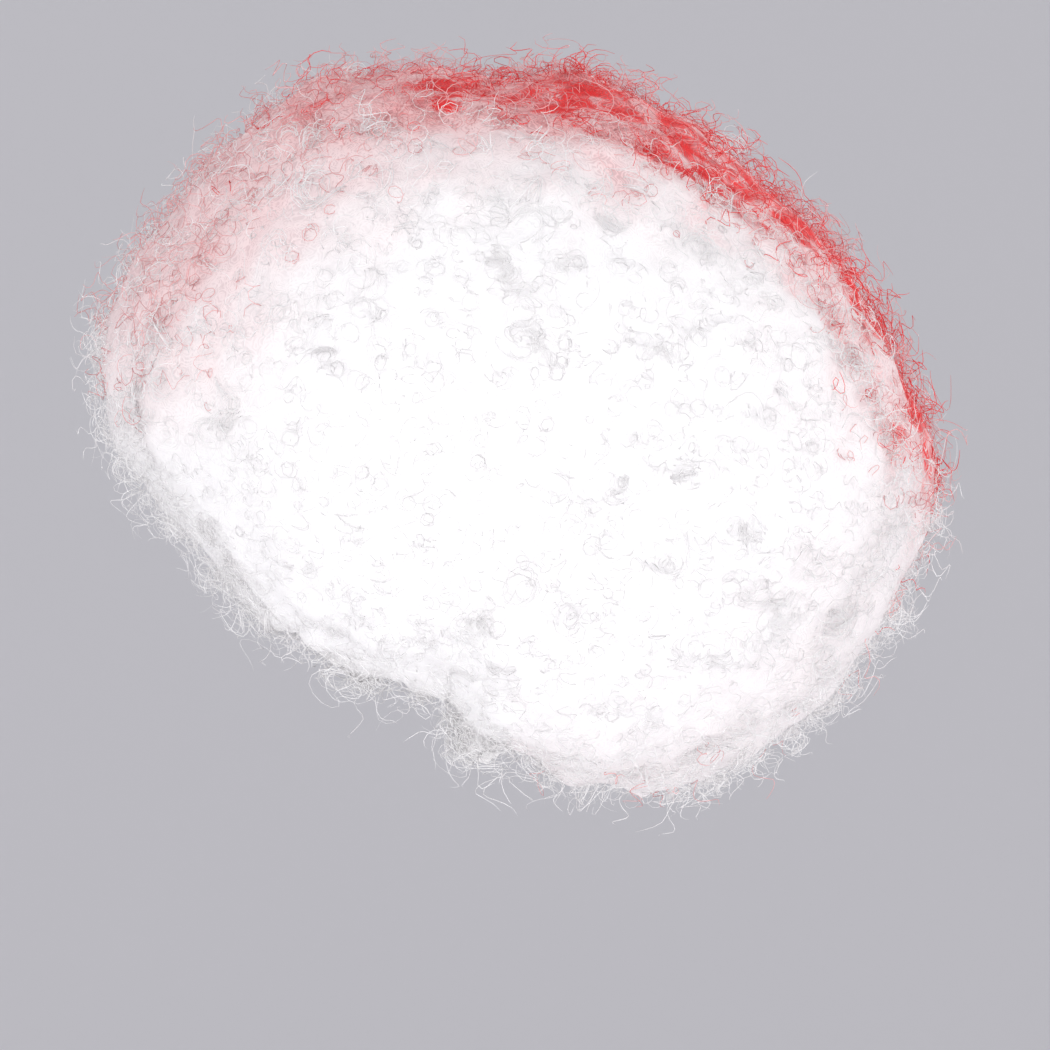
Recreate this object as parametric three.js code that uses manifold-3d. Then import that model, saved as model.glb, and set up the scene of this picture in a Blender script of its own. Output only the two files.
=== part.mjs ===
// Afro wig: a stretch cap with an elastic band inside its rim carries three panels of curled hair,
// a red one along the midline from brow to nape and a white one on each side.
// Millimetres. +Z is up, the face looks along -Y and the wearer's left is +X.
// The origin is the top of the head hollow, where the crown meets the inside of the cap.

import * as THREE from "three";
import { mergeVertices } from "three/addons/utils/BufferGeometryUtils.js";
import Module from "manifold-3d";

const wasm = await Module();
wasm.setup();

// Head hollow: an egg that is widest some way below the crown and narrows again under that level
const CROWN_RISE = 95;
const HEAD_HALF_WIDTH = 76;
const HEAD_REACH = { front: 97, back: 97 };
const TAPER_DEPTH = { side: 170, front: 420, back: 132 };
const HEAD_DEPTH = 215;

// Neck and face openings of the hollow
const NECK = { halfWidth: 60, halfDepth: 58, y: 14, top: -150, bottom: -290 };
const FACE = { halfWidth: 54, halfHeight: 52, z: -202, back: -40, front: -200 };

// Layers, each as a distance outside the head
const CAP = { inner: 0, outer: 1.5 };
const BAND = { inner: -1.5, outer: -0.3, width: 14 };
const HAIR_ROOT = 1.8;

// Rim of the cap: how far it hangs below the crown, from the brow (0) round to the nape (180 degrees)
const CAP_RIM = [
  { turn: 0, drop: 72 },
  { turn: 45, drop: 84 },
  { turn: 80, drop: 116 },
  { turn: 110, drop: 132 },
  { turn: 145, drop: 158 },
  { turn: 180, drop: 172 },
];

// Side outline of the hair about its centre, 0 degrees to the front and 90 up
const HAIR_CENTRE = new THREE.Vector3(0, 8, -92);
const HAIR_HALF_WIDTH = 148;
const HAIR_SQUARENESS = 2.2;
const SIDE_OUTLINE = [
  { turn: 0, reach: 162 },
  { turn: 13, reach: 172 },
  { turn: 32, reach: 162 },
  { turn: 55, reach: 158 },
  { turn: 76, reach: 149 },
  { turn: 91, reach: 141 },
  { turn: 104, reach: 146 },
  { turn: 120, reach: 140 },
  { turn: 135, reach: 141 },
  { turn: 151, reach: 151 },
  { turn: 172, reach: 161 },
  { turn: 190, reach: 174 },
  { turn: 215, reach: 171 },
  { turn: 240, reach: 164 },
  { turn: 257, reach: 157 },
  { turn: 272, reach: 135 },
  { turn: 287, reach: 112 },
  { turn: 309, reach: 121 },
  { turn: 333, reach: 131 },
  { turn: 347, reach: 146 },
  { turn: 360, reach: 162 },
];

// Curl locks: round tufts on the corners of a coarse ball, fused where they meet and strayed from an even spread.
// The radius is a share of the distance from the hair's centre.
const LOCK_SPREAD = 5;
const LOCK_FACES = 4;
const LOCK_RADIUS = 0.125;
const LOCK_RISE = { least: 11, most: 19 };
const LOCK_DEPTH = 14;
const LOCK_STRAY = { share: 0.03, waves: 6.5, starts: [1, 2, 3] };
const SCATTER = { step: 12.9898, size: 43758.5453 };

// Red stripe: half its spread as an angle at the hair's centre, and the gap beside it
const STRIPE_HALF_ANGLE = 29;
const PANEL_GAP = 0.3;
const CUTTER_LENGTH = 300;

// Fineness of the faces
const ROUND_STEPS = 28;
const WALL_STEPS = 7;
const CHEEK_STEPS = 3;
const CUTTER_SIDES = 30;
const FACE_TOLERANCE = 0.08;
const MERGE_DISTANCE = 1e-4;

const CAP_CLOTH = new THREE.MeshStandardMaterial({ color: 0xe9e4dc, roughness: 0.85, metalness: 0 });
const BAND_CLOTH = new THREE.MeshStandardMaterial({ color: 0xf2efe9, roughness: 0.75, metalness: 0 });
const WHITE_HAIR = new THREE.MeshStandardMaterial({ color: 0xf6f2f2, roughness: 0.6, metalness: 0 });
const RED_HAIR = new THREE.MeshStandardMaterial({ color: 0xd8232a, roughness: 0.6, metalness: 0 });

const radians = THREE.MathUtils.degToRad;

// Reads a table at a turn between its rows, easing from one row to the next
function tableAt(rows, column, turn) {
  const next = Math.max(1, rows.findIndex((row) => row.turn >= turn));
  const [before, after] = [rows[next - 1], rows[next]];
  const share = THREE.MathUtils.smoothstep(turn, before.turn, after.turn);
  return THREE.MathUtils.lerp(before[column], after[column], share);
}

// A repeatable value from 0 to 1 for each lock
function scatter(number) {
  const wave = SCATTER.size * Math.sin(number * SCATTER.step);
  return wave - Math.floor(wave);
}

function toSolid(geometry) {
  const bare = new THREE.BufferGeometry();
  bare.setAttribute("position", geometry.getAttribute("position").clone());
  bare.setIndex(geometry.getIndex());
  const merged = mergeVertices(bare, MERGE_DISTANCE);
  const corners = Array.from(merged.getIndex().array);
  const triangles = [];
  for (let at = 0; at < corners.length; at += 3) {
    const [a, b, c] = corners.slice(at, at + 3);
    if (a !== b && b !== c && c !== a) triangles.push(a, b, c);
  }
  const mesh = new wasm.Mesh({
    numProp: 3,
    vertProperties: new Float32Array(merged.getAttribute("position").array),
    triVerts: new Uint32Array(triangles),
  });
  return new wasm.Manifold(mesh);
}

// The one body that is kept of a cut, without the needless small faces along it
function keptBody(solid) {
  const bodies = solid.simplify(FACE_TOLERANCE).decompose();
  return bodies.reduce((best, body) => (body.volume() > best.volume() ? body : best));
}

function toMesh(name, solid, material) {
  const { vertProperties, triVerts } = solid.getMesh();
  const geometry = new THREE.BufferGeometry();
  geometry.setAttribute("position", new THREE.BufferAttribute(new Float32Array(vertProperties), 3));
  geometry.setIndex(new THREE.BufferAttribute(new Uint32Array(triVerts), 1));
  geometry.computeVertexNormals();
  const mesh = new THREE.Mesh(geometry, material);
  mesh.name = name;
  return mesh;
}

// Joins a stack of rings into a closed skin: between two poles, or round on itself.
// The diagonals match on falling and rising rows, so that the two faces of a wall keep their distance.
function skin(rings, roundOnItself) {
  const count = rings[0].length;
  const spans = roundOnItself ? rings.length : rings.length - 1;
  const index = [];
  for (let row = 0; row < spans; row++) {
    const next = (row + 1) % rings.length;
    const falling = rings[next][0].z < rings[row][0].z;
    for (let step = 0; step < count; step++) {
      const over = (step + 1) % count;
      const [a, b] = [row * count + step, row * count + over];
      const [c, d] = [next * count + step, next * count + over];
      if (falling) index.push(a, c, d, a, d, b);
      else index.push(a, c, b, b, c, d);
    }
  }
  const geometry = new THREE.BufferGeometry();
  geometry.setFromPoints(rings.flat());
  geometry.setIndex(index);
  return toSolid(geometry);
}

// How much of its widest size the head keeps at a depth below its widest level
function keptBelow(depth, taperDepth) {
  return Math.sqrt(Math.max(0, 1 - (depth / taperDepth) ** 2));
}

// A point of the head's surface, or of a layer outside it, at a turn from the brow and a drop from the crown
function headPoint(turn, drop, outside) {
  const level = Math.max(0, 1 - drop / CROWN_RISE);
  const depth = Math.max(0, drop - CROWN_RISE);
  const dome = Math.sqrt(1 - level ** 2);
  const end = Math.cos(radians(turn)) > 0 ? "front" : "back";
  const sideSize = HEAD_HALF_WIDTH * keptBelow(depth, TAPER_DEPTH.side) + outside;
  const endSize = HEAD_REACH[end] * keptBelow(depth, TAPER_DEPTH[end]) + outside;
  return new THREE.Vector3(
    dome * sideSize * Math.sin(radians(turn)),
    -dome * endSize * Math.cos(radians(turn)),
    (CROWN_RISE + outside) * level - CROWN_RISE - depth,
  );
}

function headRing(outside, dropAt) {
  return Array.from({ length: ROUND_STEPS }, (_, step) => {
    const turn = (step * 360) / ROUND_STEPS;
    return headPoint(turn, dropAt(turn), outside);
  });
}

function rimDrop(turn) {
  return tableAt(CAP_RIM, "drop", turn > 180 ? 360 - turn : turn);
}

function bandTop(turn) {
  return rimDrop(turn) - BAND.width;
}

// Rows from the crown to the rim that the cap and the hollow share, so that they lie side by side
function capRows() {
  const shares = Array.from({ length: WALL_STEPS + 1 }, (_, step) => (step / WALL_STEPS) ** 2);
  return [...shares.map((share) => (turn) => share * bandTop(turn)), rimDrop];
}

// Cap wall: down the outside from the crown to the rim and back up the inside
function buildCap() {
  const outer = capRows().map((row) => headRing(CAP.outer, row));
  const inner = capRows().map((row) => headRing(CAP.inner, row));
  return skin([...outer, ...inner.reverse()], false);
}

// Elastic band: a strip round the inside of the cap along its rim
function buildBand() {
  const outer = [bandTop, rimDrop].map((row) => headRing(BAND.outer, row));
  const inner = [rimDrop, bandTop].map((row) => headRing(BAND.inner, row));
  return skin([...outer, ...inner], true);
}

// Hollow that the head, the neck and the face leave in the hair
function buildHollow() {
  const shares = Array.from({ length: CHEEK_STEPS }, (_, step) => (step + 1) / CHEEK_STEPS);
  const below = shares.map((share) => (turn) => THREE.MathUtils.lerp(rimDrop(turn), HEAD_DEPTH, share));
  const rings = [...capRows(), ...below].map((row) => headRing(HAIR_ROOT, row));
  const sole = new THREE.Vector3(0, 0, -HEAD_DEPTH);
  const head = skin([...rings, rings[0].map(() => sole)], false);

  const neck = new THREE.CylinderGeometry(1, 1, 1, ROUND_STEPS);
  neck.rotateX(Math.PI / 2);
  neck.scale(NECK.halfWidth, NECK.halfDepth, NECK.top - NECK.bottom);
  neck.translate(0, NECK.y, (NECK.top + NECK.bottom) / 2);

  const face = new THREE.CylinderGeometry(1, 1, 1, ROUND_STEPS);
  face.scale(FACE.halfWidth, FACE.back - FACE.front, FACE.halfHeight);
  face.translate(0, (FACE.back + FACE.front) / 2, FACE.z);

  return wasm.Manifold.union([head, toSolid(neck), toSolid(face)]);
}

// One curl lock on each corner of a coarse ball: which way it stands from the hair's centre, and how high
function buildLocks() {
  const ball = new THREE.IcosahedronGeometry(1, LOCK_SPREAD - 1);
  ball.deleteAttribute("normal");
  ball.deleteAttribute("uv");
  const corners = mergeVertices(ball).getAttribute("position");
  return Array.from({ length: corners.count }, (_, number) => ({
    direction: new THREE.Vector3().fromBufferAttribute(corners, number),
    rise: THREE.MathUtils.lerp(LOCK_RISE.least, LOCK_RISE.most, scatter(number)),
  }));
}

// Moves a direction a little by slow waves, so that the locks aren't in rows
function strayed({ x, y, z }) {
  const { share, waves, starts } = LOCK_STRAY;
  const drift = new THREE.Vector3(
    Math.sin(waves * y + starts[0]) + Math.sin(waves * z - x),
    Math.sin(waves * z + starts[1]) + Math.sin(waves * x - y),
    Math.sin(waves * x + starts[2]) + Math.sin(waves * y - z),
  );
  return new THREE.Vector3(x, y, z).addScaledVector(drift, share).normalize();
}

// How far the hair reaches from its centre in a direction, to the foot of its locks
function hairReach(direction) {
  const along = Math.hypot(direction.y, direction.z);
  const turn = THREE.MathUtils.radToDeg(Math.atan2(direction.z, -direction.y));
  const reach = tableAt(SIDE_OUTLINE, "reach", (turn + 360) % 360) - LOCK_DEPTH;
  const side = HAIR_HALF_WIDTH - LOCK_DEPTH;
  const sum = (Math.abs(direction.x) / side) ** HAIR_SQUARENESS + (along / reach) ** HAIR_SQUARENESS;
  return sum ** (-1 / HAIR_SQUARENESS);
}

// Height of the highest lock over a place on the hair
function lockHeight(direction, locks) {
  let height = 0;
  for (const lock of locks) {
    const share = direction.distanceTo(lock.direction) / LOCK_RADIUS;
    if (share < 1) height = Math.max(height, lock.rise * Math.sqrt(1 - share ** 2));
  }
  return height;
}

// The whole head of hair with its locks, round the hollow, before it is parted into panels
function buildHair() {
  const locks = buildLocks();
  const form = new THREE.IcosahedronGeometry(1, LOCK_SPREAD * LOCK_FACES - 1);
  const points = form.getAttribute("position");
  for (let at = 0; at < points.count; at++) {
    const even = new THREE.Vector3().fromBufferAttribute(points, at).normalize();
    const direction = strayed(even);
    const reach = hairReach(direction) + lockHeight(even, locks);
    points.setXYZ(at, ...direction.multiplyScalar(reach).add(HAIR_CENTRE));
  }
  return toSolid(form).subtract(buildHollow());
}

// A cone about the X axis that holds one side panel, with its point at the hair's centre
function sideCone(side, gap) {
  const shift = gap / Math.cos(radians(STRIPE_HALF_ANGLE));
  const radius = CUTTER_LENGTH / Math.tan(radians(STRIPE_HALF_ANGLE));
  const cone = new THREE.ConeGeometry(radius, CUTTER_LENGTH, CUTTER_SIDES);
  cone.translate(0, -CUTTER_LENGTH / 2, 0);
  cone.rotateZ((side * Math.PI) / 2);
  cone.translate(HAIR_CENTRE.x - side * shift, HAIR_CENTRE.y, HAIR_CENTRE.z);
  return toSolid(cone);
}

const hair = buildHair();
const hairLeft = keptBody(hair.intersect(sideCone(1, 0)));
const hairRight = keptBody(hair.intersect(sideCone(-1, 0)));
const hairCentre = keptBody(hair.subtract(sideCone(1, PANEL_GAP)).subtract(sideCone(-1, PANEL_GAP)));

const wig = new THREE.Group();
wig.name = "afro_wig";
wig.add(toMesh("wig_cap", buildCap(), CAP_CLOTH));
wig.add(toMesh("edge_band", buildBand(), BAND_CLOTH));
wig.add(toMesh("hair_left", hairLeft, WHITE_HAIR));
wig.add(toMesh("hair_centre", hairCentre, RED_HAIR));
wig.add(toMesh("hair_right", hairRight, WHITE_HAIR));

export default wig;
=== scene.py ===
"""Looks of an afro wig: curled hair, red between white sides, on a stretch cap with an elastic edge."""

import logging
import math
from collections.abc import Iterator
from contextlib import contextmanager
from dataclasses import dataclass, replace
from enum import Enum

import bpy
import numpy as np
from bpy.types import Material, Mesh, Node, NodeSocket, Object
from bpy.types import NodeTree as ShaderTree
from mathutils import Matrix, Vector
from mathutils.bvhtree import BVHTree


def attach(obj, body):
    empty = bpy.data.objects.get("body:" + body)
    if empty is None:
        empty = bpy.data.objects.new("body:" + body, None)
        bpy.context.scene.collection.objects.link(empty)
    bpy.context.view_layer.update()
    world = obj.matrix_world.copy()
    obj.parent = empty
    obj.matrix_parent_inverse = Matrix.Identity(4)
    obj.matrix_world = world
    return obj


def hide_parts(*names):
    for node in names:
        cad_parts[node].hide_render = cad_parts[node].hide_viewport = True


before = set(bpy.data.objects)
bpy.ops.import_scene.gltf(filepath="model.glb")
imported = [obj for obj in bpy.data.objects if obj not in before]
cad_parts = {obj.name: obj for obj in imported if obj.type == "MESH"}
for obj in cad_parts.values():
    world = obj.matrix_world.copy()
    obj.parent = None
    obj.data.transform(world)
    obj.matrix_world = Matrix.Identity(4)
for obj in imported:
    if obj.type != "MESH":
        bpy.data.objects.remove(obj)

LOG = logging.getLogger("afro_wig")
MM = 0.001
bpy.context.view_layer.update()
BODY = "root"
FIBRE_MAP = "OFBake"
# Vertex attribute of the masses: the share of red dye, and the share of pink, which beside the stripe is the
# hair's own haze and inside it is painted red light scattered onto white hair.
DYE_AND_SCATTER = "dye_and_scatter"

Array = np.ndarray
Colour = tuple[float, float, float, float]
Place = tuple[float, float, float]
Span = tuple[float, float]
Fed = NodeSocket | float | tuple
Feeds = dict[str | int, Fed]

# The cap's rim: turn from the brow to the nape in degrees, and how far the rim lies below the crown.
CAP_RIM = (
    (0.0, 45.0, 80.0, 110.0, 145.0, 180.0),
    (72.0 * MM, 84.0 * MM, 116.0 * MM, 132.0 * MM, 158.0 * MM, 172.0 * MM),
)


class Panel(Enum):
    """The three hair panels, each named as its CAD node."""

    LEFT = "hair_left"
    CENTRE = "hair_centre"
    RIGHT = "hair_right"

    @property
    def sides(self) -> tuple[int, ...]:
        """The sides on which the panel has a parting, as signs of X."""
        return {"hair_left": (1,), "hair_right": (-1,)}.get(self.value, (1, -1))


class Slot(Enum):
    """Material slots of the record."""

    WHITE_HAIR = "white_hair"
    RED_HAIR = "red_hair"
    CAP_CLOTH = "cap_cloth"
    ELASTIC = "elastic"


class Tint(Enum):
    """Fibre tints, in the order of their thirds of the fibre map."""

    WHITE = 0
    PINK = 1
    RED = 2


def unit(vectors: Array) -> Array:
    """Vectors of length one along the same directions."""
    return vectors / np.maximum(np.linalg.norm(vectors, axis=-1, keepdims=True), 1e-12)


def smooth_step(low: float | Array, high: float | Array, value: Array) -> Array:
    """Eases from 0 at low to 1 at high."""
    share = np.clip((value - low) / (high - low), 0.0, 1.0)
    return share * share * (3.0 - 2.0 * share)


def slow_waves(points: Array, length: float, seed: int, count: int = 9) -> Array:
    """A smooth seeded field over space, made of plane waves.

    Args:
        points: places in metres, one a row.
        length: typical length of a wave in metres.
        seed: which field it is.
        count: how many waves are added.

    Returns:
        One value a place, mostly from -1 to 1.
    """
    rng = np.random.default_rng(seed)
    ways = unit(rng.normal(size=(count, 3)))
    lengths = length * rng.uniform(0.7, 1.6, count)
    starts = rng.uniform(0.0, 2.0 * math.pi, count)
    phases = points @ (ways * (2.0 * math.pi / lengths)[:, None]).T + starts
    return np.sin(phases).sum(axis=1) / math.sqrt(count)


def only(piece: Object) -> None:
    """Selects one object alone and makes it active.

    Args:
        piece: the object.
    """
    bpy.ops.object.select_all(action="DESELECT")
    piece.select_set(True)
    bpy.context.view_layer.objects.active = piece


@contextmanager
def editing(piece: Object) -> Iterator[None]:
    """Opens an object's mesh for editing with all of it selected, and closes it after.

    Args:
        piece: the object.

    Returns:
        The span in which the mesh is open.
    """
    only(piece)
    bpy.ops.object.mode_set(mode="EDIT")
    bpy.ops.mesh.select_all(action="SELECT")
    yield
    bpy.ops.object.mode_set(mode="OBJECT")


def apply_modifier(piece: Object, kind: str, **values: object) -> None:
    """Adds a modifier with the values given and applies it.

    Args:
        piece: the object it acts on.
        kind: the modifier's type name.
        **values: its settings by name.
    """
    only(piece)
    modifier = piece.modifiers.new(kind.lower(), kind)
    for name, value in values.items():
        setattr(modifier, name, value)
    bpy.ops.object.modifier_apply(modifier=modifier.name)


def copy_of_node(node: str, name: str) -> Object:
    """A separate object with the merged mesh of a CAD node.

    Args:
        node: the CAD node's name.
        name: the new object's name.

    Returns:
        The new object, at the origin.
    """
    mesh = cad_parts[node].data.copy()
    mesh.name = name
    mesh.materials.clear()
    piece = bpy.data.objects.new(name, mesh)
    bpy.context.scene.collection.objects.link(piece)
    with editing(piece):
        bpy.ops.mesh.remove_doubles(threshold=1e-6)
    return piece


def rows_of(items: bpy.types.bpy_prop_collection, name: str) -> Array:
    """Reads a vector of each vertex or face.

    Args:
        items: the mesh's vertices or faces.
        name: which vector is read.

    Returns:
        The vectors, one a row.
    """
    flat = np.empty(len(items) * 3, dtype=np.float32)
    items.foreach_get(name, flat)
    return flat.reshape(-1, 3).astype(np.float64)


def corner_vertices(mesh: Mesh) -> Array:
    """Reads which vertex each corner of the faces stands on.

    Args:
        mesh: the mesh.

    Returns:
        One index a corner.
    """
    corners = np.empty(len(mesh.loops), dtype=np.int32)
    mesh.loops.foreach_get("vertex_index", corners)
    return corners


@dataclass(frozen=True)
class RedClump:
    """A tuft where the red shows most: its turn along the midline, angle beside it, size and strength."""

    turn: float
    angle: float
    size: float
    strength: float


@dataclass(frozen=True)
class Stripe:
    """The red stripe along the midline, as a share of red at each place round the hair's centre.

    Turns are measured along the midline from straight up, positive to the back, and angles away from it to
    the sides, all in degrees.
    """

    centre: Place = (0.0, 8.0 * MM, -92.0 * MM)
    half_angle: float = 29.0
    dye_angle: float = 32.0
    end_dye_angle: float = 13.0
    front_fade: Span = (-9.0, -62.0)
    back_fade: Span = (80.0, 126.0)
    softness: float = 8.0
    haze_front: Span = (-62.0, -96.0)
    haze_back: Span = (14.0, 48.0)
    haze_back_loss: float = 0.82
    haze_reach: Span = (24.0, 58.0)
    ragged: float = 4.0
    ragged_length: float = 24.0 * MM
    tufted: float = 4.0
    tuft_length: float = 10.0 * MM
    mottle: float = 0.15
    mottle_length: float = 40.0 * MM
    least_red: float = 0.05
    base_red: float = 0.13
    core_red: float = 0.40
    core_reach: Span = (3.0, 20.0)
    core_front: Span = (-5.0, -30.0)
    core_front_loss: float = 0.6
    clump_red: float = 0.92
    right_shift: float = 9.0
    clumps: tuple[RedClump, ...] = (
        RedClump(-27.0, 14.0, 5.0, 0.3),
        RedClump(-8.0, 18.0, 6.5, 1.0),
        RedClump(14.0, 20.0, 9.0, 1.0),
        RedClump(33.0, 21.0, 7.5, 1.0),
        RedClump(43.0, 17.0, 6.5, 1.0),
        RedClump(54.0, 13.0, 7.0, 1.0),
        RedClump(72.0, 11.0, 7.0, 0.85),
        RedClump(85.0, 10.0, 8.0, 1.0),
        RedClump(95.0, 5.0, 7.0, 0.8),
        RedClump(4.0, 3.0, 6.0, 0.8),
        RedClump(27.0, 4.0, 7.0, 0.9),
        RedClump(63.0, 2.0, 8.0, 0.9),
    )

    def ways(self, points: Array) -> Array:
        """The direction of each place from the hair's centre."""
        return unit(points - np.array(self.centre))

    def angle(self, points: Array) -> Array:
        """The angle of each place from the midline, seen from the hair's centre, in degrees."""
        away = points - np.array(self.centre)
        return np.degrees(np.arctan2(np.abs(away[:, 0]), np.hypot(away[:, 1], away[:, 2])))

    def turn(self, points: Array) -> Array:
        """The turn of each place along the midline, in degrees."""
        return np.degrees(np.arctan2(points[:, 1] - self.centre[1], points[:, 2] - self.centre[2]))

    def clumping(self, points: Array) -> Array:
        """How much of a red clump each place lies in.

        Args:
            points: places on the hair, one a row.

        Returns:
            One share a place, from 0 to 1.
        """
        angle = self.angle(points) + self.ragged * slow_waves(points, self.ragged_length, seed=13)
        angle = angle + self.tufted * slow_waves(points, self.tuft_length, seed=15)
        turn = self.turn(points) + self.ragged * slow_waves(points, self.ragged_length, seed=14)
        turn = turn + np.where(points[:, 0] < 0.0, self.right_shift, 0.0)
        return np.max([
            each.strength * np.exp(-((turn - each.turn) ** 2 + (angle - each.angle) ** 2) / each.size ** 2)
            for each in self.clumps
        ], axis=0)

    def shares(self, points: Array) -> tuple[Array, Array, Array]:
        """How the hair is coloured at each place.

        Args:
            points: places on the hair, one a row.

        Returns:
            The share of red where the stripe is even, the share where white hair lies over it in patches, and
            the share of the pink haze in and beside it, each from 0 to 1.
        """
        turn = self.turn(points)
        front, nape = smooth_step(*self.front_fade, turn), smooth_step(*self.back_fade, turn)
        edge = self.dye_angle + (self.end_dye_angle - self.dye_angle) * (front + nape)
        angle = self.angle(points) + self.ragged * slow_waves(points, self.ragged_length, seed=11)
        even = (1.0 - front - nape) * (1.0 - smooth_step(edge - self.softness, edge + self.softness, angle))
        core = self.core_red * (1.0 - smooth_step(*self.core_reach, angle))
        core = core * (1.0 - self.core_front_loss * smooth_step(*self.core_front, turn))
        patches = np.maximum(core, self.base_red + self.clump_red * self.clumping(points))
        patches = patches + self.mottle * slow_waves(points, self.mottle_length, seed=12)
        back_loss = self.haze_back_loss * smooth_step(*self.haze_back, turn)
        haze = np.clip(1.0 - smooth_step(*self.haze_front, turn) - back_loss, 0.0, 1.0)
        haze = haze * (1.0 - smooth_step(*self.haze_reach, angle))
        return even, even * np.clip(patches, self.least_red, 1.0), haze


STRIPE = Stripe()


def facing_out(mesh: Mesh) -> Array:
    """How far each face looks away from the hair's centre, from -1 to 1."""
    ways = STRIPE.ways(rows_of(mesh.polygons, "center"))
    return (rows_of(mesh.polygons, "normal") * ways).sum(axis=1)


class NodeTree:
    """A short way to place and join shader nodes. What is fed to an input is a socket or a constant."""

    COLUMN_WIDTH = 190.0

    def __init__(self, tree: ShaderTree) -> None:
        """Keeps the tree and the next node's place."""
        self.tree = tree
        self.column = 0

    def add(self, kind: str, label: str = "", fed: Feeds | None = None, **values: object) -> Node:
        """Adds a node, sets its properties and feeds its inputs.

        Args:
            kind: the node's type name.
            label: what it does here.
            fed: what its inputs get, by name or number.
            **values: its properties by name.

        Returns:
            The new node.
        """
        node = self.tree.nodes.new(kind)
        node.label = label
        node.location = (self.column * self.COLUMN_WIDTH, 0.0)
        self.column += 1
        for name, value in values.items():
            setattr(node, name, value)
        self.feed(node, fed or {})
        return node

    def feed(self, node: Node, fed: Feeds) -> None:
        """Links sockets to a node's inputs and sets its other inputs to constants.

        Args:
            node: the node.
            fed: what its inputs get, by name or number.
        """
        for key, value in fed.items():
            if isinstance(value, NodeSocket):
                self.tree.links.new(value, node.inputs[key])
            else:
                node.inputs[key].default_value = value

    def math(self, operation: str, first: Fed, second: Fed = 0.0) -> NodeSocket:
        """One sum of two values."""
        fed = {0: first, 1: second}
        return self.add("ShaderNodeMath", operation.lower(), fed, operation=operation).outputs[0]

    def vector(self, operation: str, first: Fed, second: Fed) -> NodeSocket:
        """One sum of two vectors."""
        fed = {0: first, 1: second}
        return self.add("ShaderNodeVectorMath", operation.lower(), fed, operation=operation).outputs[0]

    def parts(self, vector: NodeSocket) -> tuple[NodeSocket, ...]:
        """The three parts of a vector."""
        return tuple(self.add("ShaderNodeSeparateXYZ", "parts", {"Vector": vector}).outputs)

    def ease(self, value: Fed, low: float, high: float, start: float = 0.0, end: float = 1.0) -> NodeSocket:
        """Maps a value smoothly from low and high to start and end."""
        fed = {"Value": value, "From Min": low, "From Max": high, "To Min": start, "To Max": end}
        return self.add("ShaderNodeMapRange", "ease", fed, interpolation_type="SMOOTHSTEP").outputs["Result"]

    def blend(self, share: Fed, first: Fed, second: Fed) -> NodeSocket:
        """Mixes two colours by a share."""
        fed = {"Factor": share, "A": first, "B": second}
        return self.add("ShaderNodeMix", "blend", fed, data_type="RGBA").outputs["Result"]

    def noise(self, place: NodeSocket, length: float, detail: float = 2.0) -> NodeSocket:
        """Noise whose lumps are about the length given, in metres."""
        fed = {"Vector": place, "Scale": 1.0 / length, "Detail": detail}
        return self.add("ShaderNodeTexNoise", "noise", fed).outputs["Fac"]


def new_group(
    name: str, inputs: dict[str, float | Place], outputs: tuple[str, ...]
) -> tuple[ShaderTree, NodeTree, bpy.types.NodeOutputs]:
    """Makes an empty shader node group with named sockets.

    Args:
        name: the group's name.
        inputs: first value by input name, a number or a vector.
        outputs: the names of its outputs, which are numbers.

    Returns:
        The group, a NodeTree to fill it with, and the sockets that bring its inputs.
    """
    group = bpy.data.node_groups.new(name, "ShaderNodeTree")
    for label, value in inputs.items():
        kind = "NodeSocketVector" if isinstance(value, tuple) else "NodeSocketFloat"
        group.interface.new_socket(label, in_out="INPUT", socket_type=kind).default_value = value
    for label in outputs:
        group.interface.new_socket(label, in_out="OUTPUT", socket_type="NodeSocketFloat")
    tree = NodeTree(group)
    return group, tree, tree.add("NodeGroupInput").outputs


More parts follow.
